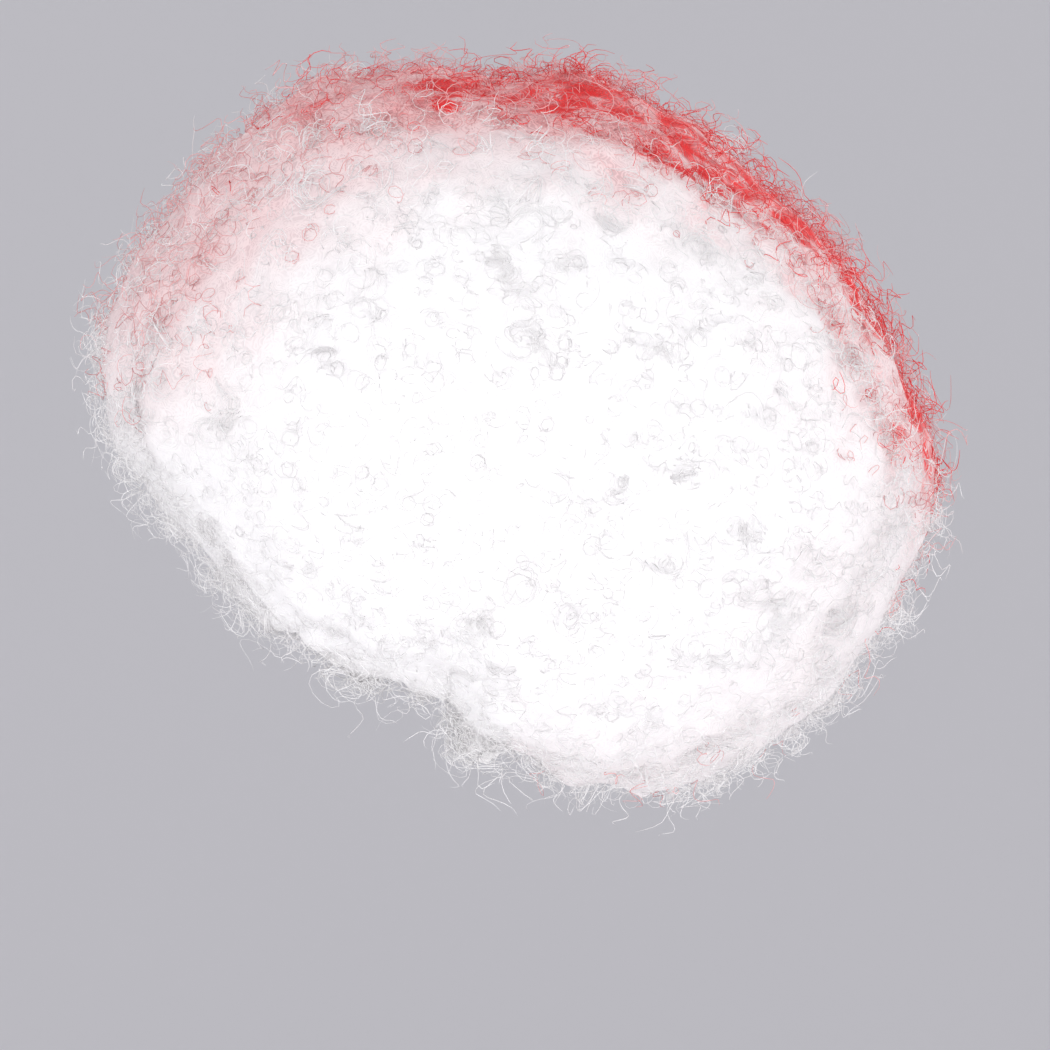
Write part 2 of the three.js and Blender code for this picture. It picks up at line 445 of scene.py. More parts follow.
class Effects:
    """Shader node groups that are used more than once, each built once."""

    RING_MIDDLE: Span = (0.28, 0.55)
    RING_EDGE: Span = (0.24, 0.05)
    STRAND_EDGE: Span = (-0.7, 1.0)
    THREAD_EDGE: Span = (0.62, 0.95)
    SWAY = 1.4
    SWAY_LENGTH = 12.0 * MM

    def __init__(self) -> None:
        """Builds the groups."""
        self.curls = self.build_curls()
        self.weave = self.build_weave()

    def build_curls(self) -> ShaderTree:
        """Makes a layer of ring curls, each a lock of a few fine strands round a hole.

        Returns:
            The group, which gives masks of the strands and rings, and a tone and a chance for each curl.
        """
        group, tree, given = new_group(
            "ring curl layer",
            {
                "Vector": (0.0, 0.0, 0.0),
                "Fray": 0.0,
                "Shift": (0.0, 0.0, 0.0),
                "Curl Size": 13.0 * MM,
                "Strands": 90.0,
            },
            ("Strand", "Ring", "Tone", "Chance"),
        )
        fed = {
            "Vector": tree.vector("ADD", given["Vector"], given["Shift"]),
            "Scale": tree.math("DIVIDE", 1.0, given["Curl Size"]),
        }
        cells = tree.add("ShaderNodeTexVoronoi", "curl cells", fed, voronoi_dimensions="3D", feature="F1")
        reach = cells.outputs["Distance"]
        tone, width, chance = tree.parts(cells.outputs["Color"])
        middle = tree.ease(width, 0.0, 1.0, *self.RING_MIDDLE)
        ring = tree.ease(tree.math("ABSOLUTE", tree.math("SUBTRACT", reach, middle)), *self.RING_EDGE)
        turns = tree.math("MULTIPLY", reach, given["Strands"])
        waves = tree.math("SINE", tree.math("ADD", turns, given["Fray"]))
        strand = tree.math("MULTIPLY", ring, tree.ease(waves, *self.STRAND_EDGE))
        tree.add("NodeGroupOutput", "", {"Strand": strand, "Ring": ring, "Tone": tone, "Chance": chance})
        return group

    def build_weave(self) -> ShaderTree:
        """Makes threads that cross over the cloth's own height and turn.

        Returns:
            The group, which gives a mask of the threads and their height.
        """
        group, tree, given = new_group(
            "cloth threads",
            {"Vector": (0.0, 0.0, 0.0), "Rows": 1.0 / (2.0 * MM), "Columns": 150.0},
            ("Thread", "Height"),
        )
        x, y, z = tree.parts(given["Vector"])
        sway = tree.math("MULTIPLY", tree.noise(given["Vector"], self.SWAY_LENGTH), self.SWAY)
        rows = tree.math("MULTIPLY", tree.math("MULTIPLY", z, given["Rows"]), math.pi)
        columns = tree.math("MULTIPLY", tree.math("ARCTAN2", x, y), given["Columns"])
        across, along = (
            tree.math("ABSOLUTE", tree.math("SINE", tree.math("ADD", tree.math(way, rows, columns), sway)))
            for way in ("ADD", "SUBTRACT")
        )
        thread = tree.ease(tree.math("MAXIMUM", across, along), *self.THREAD_EDGE)
        height = tree.math("MULTIPLY", thread, tree.math("ADD", across, along))
        tree.add("NodeGroupOutput", "", {"Thread": thread, "Height": height})
        return group


def new_material(name: str) -> tuple[Material, NodeTree, Node]:
    """Makes a material with its principled shader.

    Args:
        name: the material's name.

    Returns:
        The material, a NodeTree to fill it with, and the shader node.
    """
    material = bpy.data.materials.new(name)
    material.use_nodes = True
    shader = material.node_tree.nodes["Principled BSDF"]
    return material, NodeTree(material.node_tree), shader


@dataclass(frozen=True)
class HairPalette:
    """Colours of the hair, in linear light."""

    white: Colour = (0.86, 0.845, 0.85, 1.0)
    white_light: Colour = (0.91, 0.90, 0.90, 1.0)
    # Painted shade: the colour of the gaps between strands on the masses.
    white_painted_shade: Colour = (0.83, 0.815, 0.82, 1.0)
    # Dark end of the white fibres' random tone, and also their painted shade at the root.
    white_dark_and_shaded: Colour = (0.78, 0.76, 0.765, 1.0)
    pink_light: Colour = (0.90, 0.50, 0.50, 1.0)
    # Dark pink: dark fibre tone, and painted shade at fibre roots and in the gaps between strands on the
    # masses.
    pink_dark_and_shaded: Colour = (0.62, 0.22, 0.23, 1.0)
    red: Colour = (0.86, 0.024, 0.026, 1.0)
    red_light: Colour = (0.95, 0.05, 0.05, 1.0)
    # Dark red: dark fibre tone, and painted shade at fibre roots and in the gaps between strands on the
    # masses.
    red_dark_and_shaded: Colour = (0.62, 0.012, 0.016, 1.0)


@dataclass(frozen=True)
class MassFinish:
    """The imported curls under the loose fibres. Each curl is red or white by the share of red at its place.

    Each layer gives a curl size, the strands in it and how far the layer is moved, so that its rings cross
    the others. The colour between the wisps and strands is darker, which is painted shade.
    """

    palette: HairPalette = HairPalette()
    layers: tuple[Place, ...] = ((16.0 * MM, 98.0, 0.31), (11.0 * MM, 68.0, 0.77), (13.5 * MM, 84.0, 1.43))
    layer_way: Place = (1.0, 0.5, -0.3)
    layer_fade: float = 0.86
    drift: float = 9.0 * MM
    drift_length: float = 8.0 * MM
    drift_detail: float = 1.5
    fray: float = 8.0
    fray_length: float = 3.0 * MM
    wisps: float = 75.0
    wisp_edge: Span = (-0.6, 1.0)
    red_gain: float = 1.3
    red_edge: Span = (0.0, 0.35)
    strand_rise: float = 0.5
    relief: float = 0.8 * MM
    relief_strength: float = 0.25
    roughness: float = 0.6
    shine: float = 0.25

    def build(self, effects: Effects) -> Material:
        """Makes the material from the shared groups and the mass's own attribute.

        Args:
            effects: the shared groups.

        Returns:
            The material.
        """
        colours = self.palette
        material, tree, shader = new_material("packed curls")
        place = tree.add("ShaderNodeTexCoord").outputs["Object"]
        fed = {"Vector": place, "Scale": 1.0 / self.drift_length, "Detail": self.drift_detail}
        drift = tree.add("ShaderNodeTexNoise", "drift", fed).outputs
        pushed = tree.vector("ADD", tree.vector("MULTIPLY", drift["Color"], (self.drift,) * 3), place)
        fray = tree.math("MULTIPLY", tree.noise(place, self.fray_length, detail=0.0), self.fray)
        dye_and_scatter = tree.add("ShaderNodeAttribute", "dye_and_scatter", attribute_name=DYE_AND_SCATTER)
        # Pink here is the haze plus painted red light scattered onto white hair inside the stripe.
        red, haze, _ = tree.parts(dye_and_scatter.outputs["Vector"])
        light = tree.blend(haze, colours.white_light, colours.pink_light)
        middle = tree.blend(haze, colours.white, colours.pink_light)
        # The deep colour is painted shade for the gaps between wisps and strands.
        deep = tree.blend(haze, colours.white_painted_shade, colours.pink_dark_and_shaded)
        wisps = tree.math("SINE", tree.math("ADD", tree.math("MULTIPLY", drift["Fac"], self.wisps), fray))
        # Painted shade between the wisps, the middle colour along them; the curl strands are laid over this.
        colour = tree.blend(
            tree.ease(wisps, *self.wisp_edge),
            tree.blend(red, deep, colours.red_dark_and_shaded),
            tree.blend(red, middle, colours.red),
        )
        height: NodeSocket | None = None
        for size, strands, shift in self.layers:
            moved = tuple(shift * part for part in self.layer_way)
            fed = {"Vector": pushed, "Fray": fray, "Shift": moved, "Curl Size": size, "Strands": strands}
            curls = tree.add("ShaderNodeGroup", "curls", fed, node_tree=effects.curls).outputs
            chosen = tree.math("SUBTRACT", tree.math("MULTIPLY", red, self.red_gain), curls["Chance"])
            dyed = tree.blend(
                tree.ease(chosen, *self.red_edge),
                tree.blend(curls["Tone"], middle, light),
                tree.blend(curls["Tone"], colours.red, colours.red_light),
            )
            colour = tree.blend(curls["Strand"], colour, dyed)
            raised = tree.math("ADD", curls["Ring"], tree.math("MULTIPLY", curls["Strand"], self.strand_rise))
            if height is not None:
                raised = tree.math("MAXIMUM", tree.math("MULTIPLY", height, self.layer_fade), raised)
            height = raised
        fed = {"Distance": self.relief, "Strength": self.relief_strength, "Height": height}
        bump = tree.add("ShaderNodeBump", "curl relief", fed)
        tree.feed(shader, {"Base Color": colour, "Normal": bump.outputs["Normal"]})
        tree.feed(shader, {"Roughness": self.roughness, "Specular IOR Level": self.shine})
        return material


@dataclass(frozen=True)
class FibreFinish:
    """Loose fibres, which read their own map: its width gives the tone and its height runs from root to tip.

    The first third of the width is white, the next pink and the last red, and each third runs from dark to
    light. Each fibre is also painted darker towards its root, which is painted shade deep in the hair.
    """

    palette: HairPalette = HairPalette()
    # Fibres are painted darker over this share of their length from the root, which is painted shade.
    root_length: float = 0.4
    root_shade: float = 0.45
    roughness: float = 0.48
    shine: float = 0.4

    def build(self) -> Material:
        """Makes the material, which reads the fibre's own map.

        Returns:
            The material.
        """
        colours = self.palette
        material, tree, shader = new_material("curled fibre")
        tone, height, _ = tree.parts(tree.add("ShaderNodeTexCoord").outputs["UV"])
        thirds = tree.math("MULTIPLY", tone, float(len(Tint)))
        # Painted shade: darker towards the root.
        painted_root_shade = tree.ease(height, 0.0, self.root_length, self.root_shade, 1.0)
        lit = tree.math("MULTIPLY", tree.math("FRACT", thirds), painted_root_shade)
        white = tree.blend(lit, colours.white_dark_and_shaded, colours.white_light)
        pink = tree.blend(lit, colours.pink_dark_and_shaded, colours.pink_light)
        red = tree.blend(lit, colours.red_dark_and_shaded, colours.red_light)
        tinted = tree.blend(tree.math("GREATER_THAN", thirds, 1.0), white, pink)
        tinted = tree.blend(tree.math("GREATER_THAN", thirds, 2.0), tinted, red)
        tree.feed(shader, {"Base Color": tinted, "Roughness": self.roughness})
        tree.feed(shader, {"Specular IOR Level": self.shine})
        return material


@dataclass(frozen=True)
class ClothFinish:
    """Threaded cloth of the cap or the elastic band."""

    name: str
    light: Colour
    dark: Colour
    rows: float
    columns: float
    roughness: float
    relief: float = 0.5 * MM
    wear_length: float = 20.0 * MM
    wear_edge: Span = (0.2, 0.8)
    wear_shade: Span = (0.8, 1.0)
    sheen: float = 0.2

    def build(self, effects: Effects) -> Material:
        """Makes the material from the shared thread group.

        Args:
            effects: the shared groups.

        Returns:
            The material.
        """
        material, tree, shader = new_material(self.name)
        place = tree.add("ShaderNodeTexCoord").outputs["Object"]
        fed = {"Vector": place, "Rows": self.rows, "Columns": self.columns}
        threads = tree.add("ShaderNodeGroup", "threads", fed, node_tree=effects.weave).outputs
        wear = tree.ease(tree.noise(place, self.wear_length), *self.wear_edge, *self.wear_shade)
        shade = tree.math("MULTIPLY", threads["Thread"], wear)
        fed = {"Distance": self.relief, "Height": threads["Height"]}
        bump = tree.add("ShaderNodeBump", "thread relief", fed)
        colour = tree.blend(shade, self.dark, self.light)
        tree.feed(shader, {"Base Color": colour, "Normal": bump.outputs["Normal"]})
        tree.feed(shader, {"Roughness": self.roughness, "Sheen Weight": self.sheen})
        return material


NET_CLOTH = ClothFinish(
    name="stretch net cloth",
    light=(0.86, 0.83, 0.79, 1.0),
    dark=(0.58, 0.55, 0.52, 1.0),
    rows=1.0 / (3.0 * MM),
    columns=75.0,
    roughness=0.85,
)
ELASTIC = ClothFinish(
    name="ribbed elastic",
    light=(0.88, 0.86, 0.83, 1.0),
    dark=(0.60, 0.57, 0.55, 1.0),
    rows=1.0 / (40.0 * MM),
    columns=130.0,
    roughness=0.75,
)


@dataclass(frozen=True)
class PartingEdge:
    """The outer edge of one parting, as its reach from the hair's centre at each turn along the midline."""

    members: Array
    turns: Array
    reaches: Array
    order: Array
    wall_depth: float = 45.0 * MM
    wall_gap: float = 0.3 * MM

    @classmethod
    def of(cls, places: Array, reach: Array, members: Array) -> "PartingEdge":
        """Reads the edge from the vertices that lie on it.

        Args:
            places: all vertices of the panel.
            reach: their distances from the hair's centre.
            members: which of them lie on the edge.

        Returns:
            The edge, in the order of its turns.
        """
        turns = STRIPE.turn(places[members])
        order = np.argsort(turns)
        return cls(members, turns[order], reach[members][order], order)

    def rounded_reach(self, turns: Array, blur: int = 6) -> Array:
        """The edge's reach without its curls, so that the panels on both sides of it agree.

        Args:
            turns: where it is wanted, in degrees.
            blur: how far the curls are evened out, in degrees.

        Returns:
            One reach a turn.
        """
        grid = np.arange(-180.0, 181.0)
        weights = np.exp(-0.5 * (np.arange(-3 * blur, 3 * blur + 1) / blur) ** 2)
        padded = np.pad(np.interp(grid, self.turns, self.reaches), 3 * blur, mode="edge")
        return np.interp(turns, grid, np.convolve(padded, weights / weights.sum(), mode="valid"))

    def drawn_wall(self, turns: Array, reach: Array, edge: Array) -> Array:
        """Draws the parting's hidden wall in with its edge.

        Args:
            turns: the turns of the wall's vertices.
            reach: their distances from the hair's centre.
            edge: the new reach of the edge's own vertices.

        Returns:
            The wall's new distances, all inside the edge.
        """
        before = np.interp(turns, self.turns, self.reaches)
        after = np.interp(turns, self.turns, edge[self.order])
        share = np.clip(1.0 - (before - reach) / self.wall_depth, 0.0, 1.0)
        return np.minimum(reach - share * (before - after), after - self.wall_gap)


@dataclass
class HairMass:
    """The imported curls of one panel, a little inside the CAD form so that the loose fibres fill it out.

    Facings say how far a face looks away from the hair's centre, from -1 to 1.
    """

    panel: Panel
    slot: Slot
    inset: float = 5.5 * MM
    smoothing: int = 16
    lump_size: float = 17.0 * MM
    lump_rise: float = 0.5 * MM
    thin_share: float = 0.3
    parting_strip: float = 0.4
    parting_fill: float = 0.3 * MM
    inner_facing: float = -0.5
    ray_start: float = 0.2 * MM
    outside_facing: Span = (0.1, 0.3)
    crease_angle: float = 35.0
    roundness: float = 1.4
    lit_facing: float = 0.15
    round_facing: Span = (0.35, 0.75)
    free_lean: float = 0.8
    hold: float = 1.3
    red_gain: float = 1.15
    haze_pink: float = 0.5
    # Pink inside the stripe is painted red light scattered onto white hair; pink from the haze is its own
    # colour.
    painted_scatter_pink: float = 0.25

    def build(self, finish: Material) -> Object:
        """Makes the mass from the CAD form, rounded, drawn in and covered in curl lumps.

        Args:
            finish: the material it wears.

        Returns:
            The finished piece.
        """
        piece = copy_of_node(self.panel.value, self.panel.value + "_mass")
        with editing(piece):
            bpy.ops.mesh.subdivide(number_cuts=1)
            bpy.ops.mesh.quads_convert_to_tris()
        self.shape_outside(piece.data)
        self.dye_and_scatter(piece.data)
        bpy.ops.object.shade_smooth_by_angle(angle=math.radians(self.crease_angle))
        self.soften_shading(piece.data)
        piece.data.materials.append(finish)
        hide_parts(self.panel.value)
        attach(piece, BODY)
        LOG.info("%s: %d faces", piece.name, len(piece.data.polygons))
        return piece

    def thickness(self, mesh: Mesh, ways: Array, facing: Array) -> Array:
        """How thick the hair is inwards from each vertex, as far as the faces that look at the hair's centre.

        Args:
            mesh: the panel's mesh.
            ways: the direction from the hair's centre to each vertex.
            facing: the facing of each face.

        Returns:
            One depth a vertex, in metres.
        """
        inner = [mesh.polygons[int(index)].vertices for index in np.flatnonzero(facing < self.inner_facing)]
        tree = BVHTree.FromPolygons([vertex.co for vertex in mesh.vertices], inner)
        depths = np.full(len(ways), (self.inset + 2.0 * self.lump_rise) / self.thin_share)
        for index, vertex in enumerate(mesh.vertices):
            inward = -Vector(ways[index])
            distance = tree.ray_cast(vertex.co + self.ray_start * inward, inward, float(depths[index]))[3]
            if distance is not None:
                depths[index] = distance
        return depths

    def shape_outside(self, mesh: Mesh) -> None:
        """Rounds the outer skin and draws it in towards the hair's centre, which keeps partings closed.

        Args:
            mesh: the panel's mesh, in triangles.
        """
        first = rows_of(mesh.vertices, "co")
        ways, reach = STRIPE.ways(first), np.linalg.norm(first - np.array(STRIPE.centre), axis=1)
        facing = facing_out(mesh)
        most = np.full(len(reach), -1.0)
        np.maximum.at(most, corner_vertices(mesh), np.repeat(facing, 3))
        outside = smooth_step(*self.outside_facing, most)
        at_parting = np.abs(STRIPE.angle(first) - STRIPE.half_angle) < self.parting_strip
        partings = [at_parting & (np.sign(first[:, 0]) == side) for side in self.panel.sides]
        edges = [PartingEdge.of(first, reach, parting & (outside > 0.5)) for parting in partings]
        rounded = reach.copy()
        for edge in edges:
            rounded[edge.members] = edge.rounded_reach(STRIPE.turn(first[edge.members]))
        ends = np.empty(len(mesh.edges) * 2, dtype=np.int32)
        mesh.edges.foreach_get("vertices", ends)
        ends = ends.reshape(-1, 2)
        ends = ends[(outside[ends] > 0.5).all(axis=1)]
        shares = np.bincount(ends.reshape(-1), minlength=len(reach))
        free = (shares > 2) & ~np.any([edge.members for edge in edges], axis=0)
        for _ in range(self.smoothing):
            around = self.mean_around(rounded, ends, shares)
            rounded = np.where(free, 0.5 * rounded + 0.5 * around, rounded)
            unfolded = np.stack([self.mean_around(part, ends, shares) for part in ways.T], axis=1)
            ways = np.where(free[:, None], unit(ways + unfolded), ways)
        lumps = slow_waves(ways * np.mean(reach), self.lump_size, seed=21, count=16)
        thin = self.thin_share * self.thickness(mesh, ways, facing)
        rounded = rounded - outside * np.minimum(self.inset - self.lump_rise * lumps, thin)
        for parting, edge in zip(partings, edges):
            wall = parting & ~edge.members
            rounded[wall] = edge.drawn_wall(STRIPE.turn(first[wall]), reach[wall], rounded[edge.members])
        places = np.array(STRIPE.centre) + ways * rounded[:, None]
        outward = 1.0 if self.panel is Panel.CENTRE else -1.0
        places += parting_ways(first) * (outward * self.parting_fill * at_parting)[:, None]
        mesh.vertices.foreach_set("co", places.reshape(-1).astype(np.float32))
        mesh.update()

    @staticmethod
    def mean_around(values: Array, ends: Array, shares: Array) -> Array:
        """The mean of a value over the neighbours of each vertex.

        Args:
            values: one value a vertex.
            ends: the two vertices of each edge.
            shares: how many edges meet at each vertex.

        Returns:
            One mean a vertex.
        """
        total = np.bincount(ends[:, 0], values[ends[:, 1]], len(values))
        total += np.bincount(ends[:, 1], values[ends[:, 0]], len(values))
        return total / np.maximum(shares, 1)

    def soften_shading(self, mesh: Mesh) -> None:
        """Turns the outer skin's normals towards plain roundness, as loose hair takes light.

        Args:
            mesh: the shaped mesh, in triangles.
        """
        ways = STRIPE.ways(rows_of(mesh.vertices, "co"))
        outer = np.repeat(facing_out(mesh) > self.lit_facing, 3)
        flat = np.repeat(rows_of(mesh.polygons, "normal"), 3, axis=0)
        corners = corner_vertices(mesh)
        normals = np.zeros_like(ways)
        np.add.at(normals, corners[outer], flat[outer])
        mean = unit(normals)
        towards = self.roundness * smooth_step(*self.round_facing, (mean * ways).sum(axis=1))
        softened = unit(mean + towards[:, None] * ways)[corners]
        pull = self.hold * np.clip(self.free_lean - (softened * flat).sum(axis=1), 0.0, 1.0)
        held = unit(softened + pull[:, None] * flat)
        mesh.normals_split_custom_set(np.where(outer[:, None], held, 0.0).tolist())

    def dye_and_scatter(self, mesh: Mesh) -> None:
        """Stores the share of red, and of pink from the haze and from painted red light scattered inside the
        stripe, at each vertex.

        Args:
            mesh: the shaped mesh.
        """
        even, patchy, haze = STRIPE.shares(rows_of(mesh.vertices, "co"))
        red = np.clip(self.red_gain * patchy, 0.0, 1.0)
        pink = self.haze_pink * haze + self.painted_scatter_pink * even
        values = np.stack([red, pink, np.zeros_like(pink)], axis=1)
        layer = mesh.attributes.new(DYE_AND_SCATTER, "FLOAT_VECTOR", "POINT")
        layer.data.foreach_set("vector", values.reshape(-1).astype(np.float32))


@dataclass(frozen=True)
class FibreRecipe:
    """Sizes of one kind of fibre. Spans are (least, most), and angles are in degrees.

    Each fibre is a loose coil. Coils grow in bundles that share a root and a way of curling. A coil's middle
    line leaves the skin at its tilt, and the fibre climbs round it at its pitch while the line wanders.
    """

    bundles: float
    bundle: int
    radius: Span
    turns: Span
    tilt: Span
    pitch: Span
    wander: float
    loose: float
    top: float
    thickness: float
    points: int
    scatter: float = 1.2 * MM
    depth: float = 1.5 * MM
    least_radius: float = 1.5 * MM
    sunk_share: float = 0.3
    mixing: float = 8.0 * MM
    turn_spread: Span = (0.9, 1.1)
    bend_spread: Span = (0.7, 1.3)
    width_spread: Span = (0.8, 1.2)
    lock_red_edge: Span = (0.05, 0.2)
    # Pink inside the stripe is painted red light scattered onto white fibres; pink from the haze is their own
    # colour.
    painted_scatter_pink: float = 0.45
    painted_scatter_pink_edge: Span = (0.02, 0.2)
    haze_pink: float = 0.5
    haze_pink_edge: Span = (0.05, 0.4)
    shade: float = 0.6
    bundle_shade: float = 0.15
    fibre_shade: float = 0.2
    shade_limits: Span = (0.04, 0.96)


FRIZZ = FibreRecipe(
    bundles=24000.0, bundle=1, radius=(1.5 * MM, 3.5 * MM), turns=(1.5, 2.3),
    tilt=(0.0, 75.0), pitch=(8.0, 29.0), wander=0.15, loose=0.0,
    top=16.0 * MM, thickness=0.13 * MM, points=14,
)
LOCKS = FibreRecipe(
    bundles=1000.0, bundle=5, radius=(3.0 * MM, 5.8 * MM), turns=(1.1, 1.7),
    tilt=(35.0, 85.0), pitch=(9.0, 22.0), wander=0.07, loose=0.8 * MM,
    top=14.0 * MM, thickness=0.14 * MM, points=16, haze_pink=0.12,
)
FLYAWAYS = FibreRecipe(
    bundles=3200.0, bundle=1, radius=(3.0 * MM, 7.5 * MM), turns=(1.1, 1.7),
    tilt=(10.0, 80.0), pitch=(6.0, 22.0), wander=0.07, loose=0.0,
    top=20.0 * MM, thickness=0.075 * MM, points=18,
)
RIDGE_FRIZZ = replace(FRIZZ, bundles=26500.0)
LINING = replace(FRIZZ, bundles=14000.0, tilt=(70.0, 90.0), top=3.0 * MM)


def parting_ways(points: Array) -> Array:
    """The direction square to the parting cones at each place, away from the midline.

    Args:
        points: places on the hair, one a row.

    Returns:
        One direction a place.
    """
    away = points - np.array(STRIPE.centre)
    reach = np.hypot(away[:, 1], away[:, 2])
    angle = np.radians(STRIPE.angle(points))
    sunk = -np.sin(angle)
    parts = [np.cos(angle) * np.sign(away[:, 0]), sunk * away[:, 1] / reach, sunk * away[:, 2] / reach]
    return np.stack(parts, axis=1)


def below_cap(points: Array, margin: float) -> Array:
    """Whether each place lies lower than the cap's rim by the margin."""
    turn = np.degrees(np.arctan2(np.abs(points[:, 0]), -points[:, 1]))
    return points[:, 2] < -np.interp(turn, *CAP_RIM) - margin


@dataclass(frozen=True)
class RootRules:
    """Where roots stand on a mass, how close, and how far fibres lean outwards. Angles are in degrees."""

    inner_facing: float = -0.4
    lining_drop: float = 5.0 * MM
    wall_strip: float = 2.5
    wall_facing: float = 0.88
    parting_crowd: float = 2.5
    parting_strip: float = 2.2
    edge_crowd: float = 9.0
    edge_facing: Span = (0.1, 0.45)
    edge_lean: float = 0.15
    more_lean: float = 0.55
    lean_facing: Span = (0.0, 0.5)


ROOT_RULES = RootRules()


@dataclass
class RootBed:
    """The skin of a hair mass that fibres grow from. Its areas are weighted by how close the roots stand."""

    places: Array
    normals: Array
    areas: Array

    @classmethod
    def of(cls, mass: Object, lining: bool = False, rules: RootRules = ROOT_RULES) -> "RootBed":
        """Reads the outer skin of a mass with its lower edge, or its lining below the cap, without partings.

        Args:
            mass: the finished hair mass.
            lining: whether to read the inner side, which faces the head.
            rules: where roots stand.

        Returns:
            The bed of those faces. Those along a parting or at the lower edge count for more, so that fibres
            close the one and hide the other.
        """
        faces = mass.data.polygons
        places, normals = rows_of(faces, "center"), rows_of(faces, "normal")
        areas = np.empty(len(faces), dtype=np.float32)
        faces.foreach_get("area", areas)
        away, facing = STRIPE.ways(places), facing_out(mass.data)
        from_parting = np.abs(STRIPE.angle(places) - STRIPE.half_angle)
        across = np.abs((normals * parting_ways(places)).sum(axis=1))
        keep = ~((from_parting < rules.wall_strip) & (across > rules.wall_facing))
        weights = areas * (1.0 + rules.parting_crowd * np.exp(-((from_parting / rules.parting_strip) ** 2)))
        if lining:
            keep &= below_cap(places, rules.lining_drop) & (facing <= rules.inner_facing)
            return cls(places[keep], normals[keep], weights[keep].astype(np.float64))
        keep &= facing > rules.inner_facing
        weights = weights * (1.0 + rules.edge_crowd * (1.0 - smooth_step(*rules.edge_facing, facing)))
        lean = rules.edge_lean + rules.more_lean * smooth_step(*rules.lean_facing, facing)
        leaning = unit(normals + lean[:, None] * away)
        return cls(places[keep], leaning[keep], weights[keep].astype(np.float64))

    def part(self, keep: Array) -> "RootBed":
        """The bed's faces where keep is true."""
        return RootBed(self.places[keep], self.normals[keep], self.areas[keep])

    def roots(self, density: float, rng: np.random.Generator) -> Array:
        """Picks faces evenly by area, each at most as often as it needs.

        Args:
            density: roots per square metre.
            rng: where the choice comes from.

        Returns:
            Indices of the picked faces.
        """
        order = rng.permutation(len(self.areas))
        filled = np.cumsum((self.areas * density)[order])
        marks = np.arange(0.5, filled[-1], 1.0)
        return order[np.searchsorted(filled, marks)]


@dataclass
class FibreBatch:
    """Fibres of one recipe, ready to be made into tubes."""

    paths: Array
    tones: Array
    thickness: Array


def turned(vectors: Array, axes: Array, angles: Array) -> Array:
    """Turns each vector about its axis by its angle.

    Args:
        vectors: the vectors, one a row.
        axes: an axis of length one for each.
        angles: an angle for each, in radians.

    Returns:
        The turned vectors.
    """
    along = (vectors * axes).sum(axis=1, keepdims=True)
    cosine, sine = np.cos(angles)[:, None], np.sin(angles)[:, None]
    return vectors * cosine + np.cross(axes, vectors) * sine + axes * along * (1.0 - cosine)


def grow(bed: RootBed, recipe: FibreRecipe, seed: int) -> FibreBatch:
    """Grows coiled fibres on a bed, in bundles that share a coil.

    Args:
        bed: the skin they stand on.
        recipe: their sizes.
        seed: what makes them the same each time.

    Returns:
        The fibres.
    """
    rng = np.random.default_rng(seed)
    roots = bed.roots(recipe.bundles, rng)
    count = len(roots)
    total = count * recipe.bundle

    def each(values: Array) -> Array:
        """Repeats a value of each bundle for its fibres."""
        return np.repeat(values, recipe.bundle, axis=0)

    def drawn(limits: Span) -> Array:
        """A value for each fibre, shared by its bundle."""
        return each(rng.uniform(*limits, count))

    middles = bed.places[roots] + recipe.scatter * rng.normal(size=(count, 3))
    place, normal = each(middles), each(bed.normals[roots])
    tangent = each(unit(np.cross(bed.normals[roots], rng.normal(size=(count, 3)))))
    tilt = np.radians(drawn(recipe.tilt))[:, None]
    pitch = np.radians(drawn(recipe.pitch))[:, None]
    axis = np.cos(tilt) * normal + np.sin(tilt) * tangent
    side = unit(np.cross(axis, each(rng.normal(size=(count, 3)))))
    ahead = np.cos(pitch) * side + np.sin(pitch) * axis
    radius = drawn(recipe.radius) + recipe.loose * rng.normal(size=total)
    radius = np.maximum(radius, recipe.least_radius)
    bend = 2.0 * math.pi * drawn(recipe.turns) * rng.uniform(*recipe.turn_spread, total) / (recipe.points - 1)
    length = radius * bend / np.cos(pitch[:, 0])
    hand = each(rng.choice([-1.0, 1.0], count))
    paths = np.empty((total, recipe.points, 3))
    start = place - recipe.depth * normal - (hand * radius)[:, None] * np.cross(axis, side)
    paths[:, 0] = start + recipe.loose * rng.normal(size=(total, 3))
    for step in range(1, recipe.points):
        paths[:, step] = paths[:, step - 1] + ahead * length[:, None]
        ahead = unit(turned(ahead, axis, hand * bend * rng.uniform(*recipe.bend_spread, total)))
        axis = unit(axis + recipe.wander * rng.normal(size=(total, 3)))
    paths = kept_on_skin(paths, place, normal, recipe)
    even, patchy, haze = STRIPE.shares(middles + recipe.mixing * rng.normal(size=(count, 3)))
    locks = recipe.bundle > 1
    red = each(patchy * smooth_step(*recipe.lock_red_edge, patchy) if locks else patchy)
    # Pink inside the stripe is painted red light scattered onto white fibres; pink from the haze is their own
    # colour.
    pink = recipe.painted_scatter_pink * even * smooth_step(*recipe.painted_scatter_pink_edge, even)
    pink = each(pink + recipe.haze_pink * haze * smooth_step(*recipe.haze_pink_edge, haze))
    draw = each(rng.random(count)) if locks else rng.random(total)
    pale = np.where(draw < red + pink, Tint.PINK.value, Tint.WHITE.value)
    tint = np.where(draw < red, Tint.RED.value, pale)
    shade = each(rng.normal(recipe.shade, recipe.bundle_shade, count))
    shade = shade + rng.normal(0.0, recipe.fibre_shade, total)
    tones = (tint + np.clip(shade, *recipe.shade_limits)) / len(Tint)
    return FibreBatch(paths, tones, recipe.thickness * rng.uniform(*recipe.width_spread, total))


